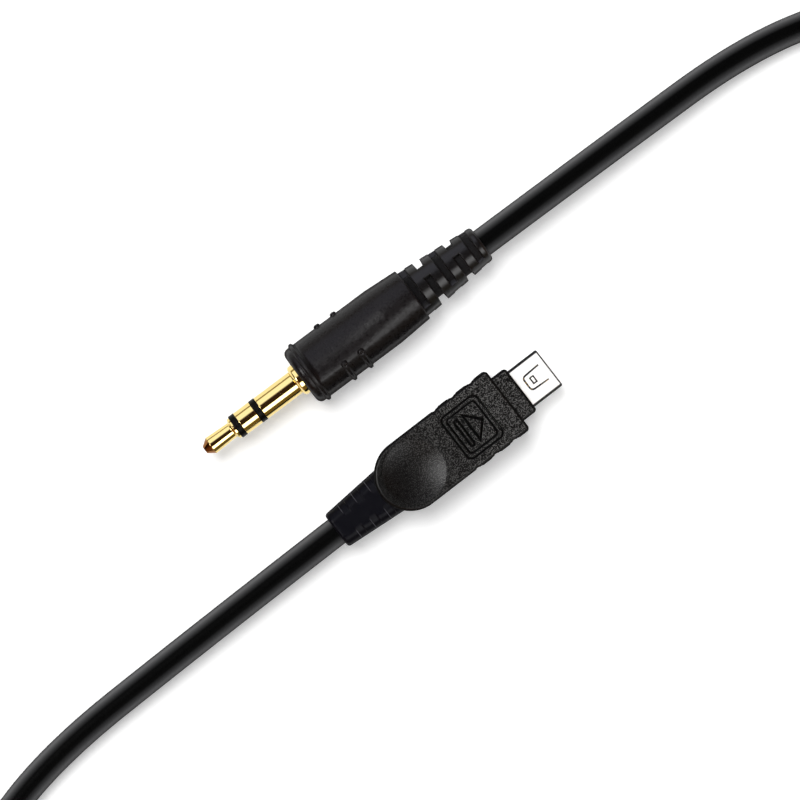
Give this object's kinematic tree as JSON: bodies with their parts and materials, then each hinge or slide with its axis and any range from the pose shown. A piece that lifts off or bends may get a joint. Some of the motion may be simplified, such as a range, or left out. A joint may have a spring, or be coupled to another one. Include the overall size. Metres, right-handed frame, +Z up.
{
  "type": "cable shutter release",
  "caption": "Electronic shutter release link cable with a gold 3.5 mm jack plug and a flat latching camera plug",
  "frame": {"origin": "on the surface it rests on, midway between the outermost points of the two plugs", "axes": "+Z up; X and Y lie on the surface, X across the view in which the plugs lie parallel, jack plug to the upper left, camera plug to the lower right"},
  "size_m": [0.1567, 0.1569, 0.0093],
  "materials": {
    "gold_plated_brass": "polished gold plating on brass",
    "black_insulator": "black moulded insulator",
    "tinned_tag": "tinned brass tag",
    "solder": "solder",
    "natural_mould": "natural moulded polyethylene",
    "barrel_pvc": "satin black moulded PVC",
    "relief_pvc": "smooth black moulded PVC",
    "red_lead": "red lead insulation",
    "white_lead": "white lead insulation",
    "copper_lead": "bare copper screen lead",
    "nickel_steel": "bright nickel-plated steel sheet",
    "housing_abs": "black ABS with a fine spark-eroded grain",
    "cable_pvc": "satin black PVC jacket"
  },
  "bodies": {
    "link_cable": {"jack_tip_contact": "gold_plated_brass", "jack_tip_insulator": "black_insulator", "jack_ring_contact": "gold_plated_brass", "jack_ring_insulator": "black_insulator", "jack_sleeve_contact": "gold_plated_brass", "jack_rear_washer": "black_insulator", "jack_sleeve_tag": "tinned_tag", "jack_ring_tag": "tinned_tag", "jack_tip_tag": "tinned_tag", "jack_ground_lead": "copper_lead", "jack_focus_lead": "white_lead", "jack_shutter_lead": "red_lead", "jack_solder_joints": "solder", "jack_core_mould": "natural_mould", "jack_barrel": "barrel_pvc", "jack_strain_relief": "relief_pvc", "cable": "cable_pvc", "plug_shell": "nickel_steel", "plug_contacts": "gold_plated_brass", "plug_contact_carrier": "black_insulator", "plug_ground_lead": "copper_lead", "plug_focus_lead": "white_lead", "plug_shutter_lead": "red_lead", "plug_solder_joints": "solder", "plug_cable_ferrule": "tinned_tag", "plug_core_mould": "natural_mould", "plug_strain_relief": "relief_pvc", "plug_top_cover": "housing_abs", "plug_bottom_cover": "housing_abs"},
    "latch": {"plug_latch_tongue": "nickel_steel"}
  },
  "joints": [
    {"name": "latch_flex", "type": "hinge", "parent": "link_cable", "child": "latch", "pos_m": [0.02181, 0.00204, 0.0048], "axis": [0.6101, -0.7923, 0], "range_deg": [0, 6], "stiffness_Nm_per_rad": 0.03}
  ]
}
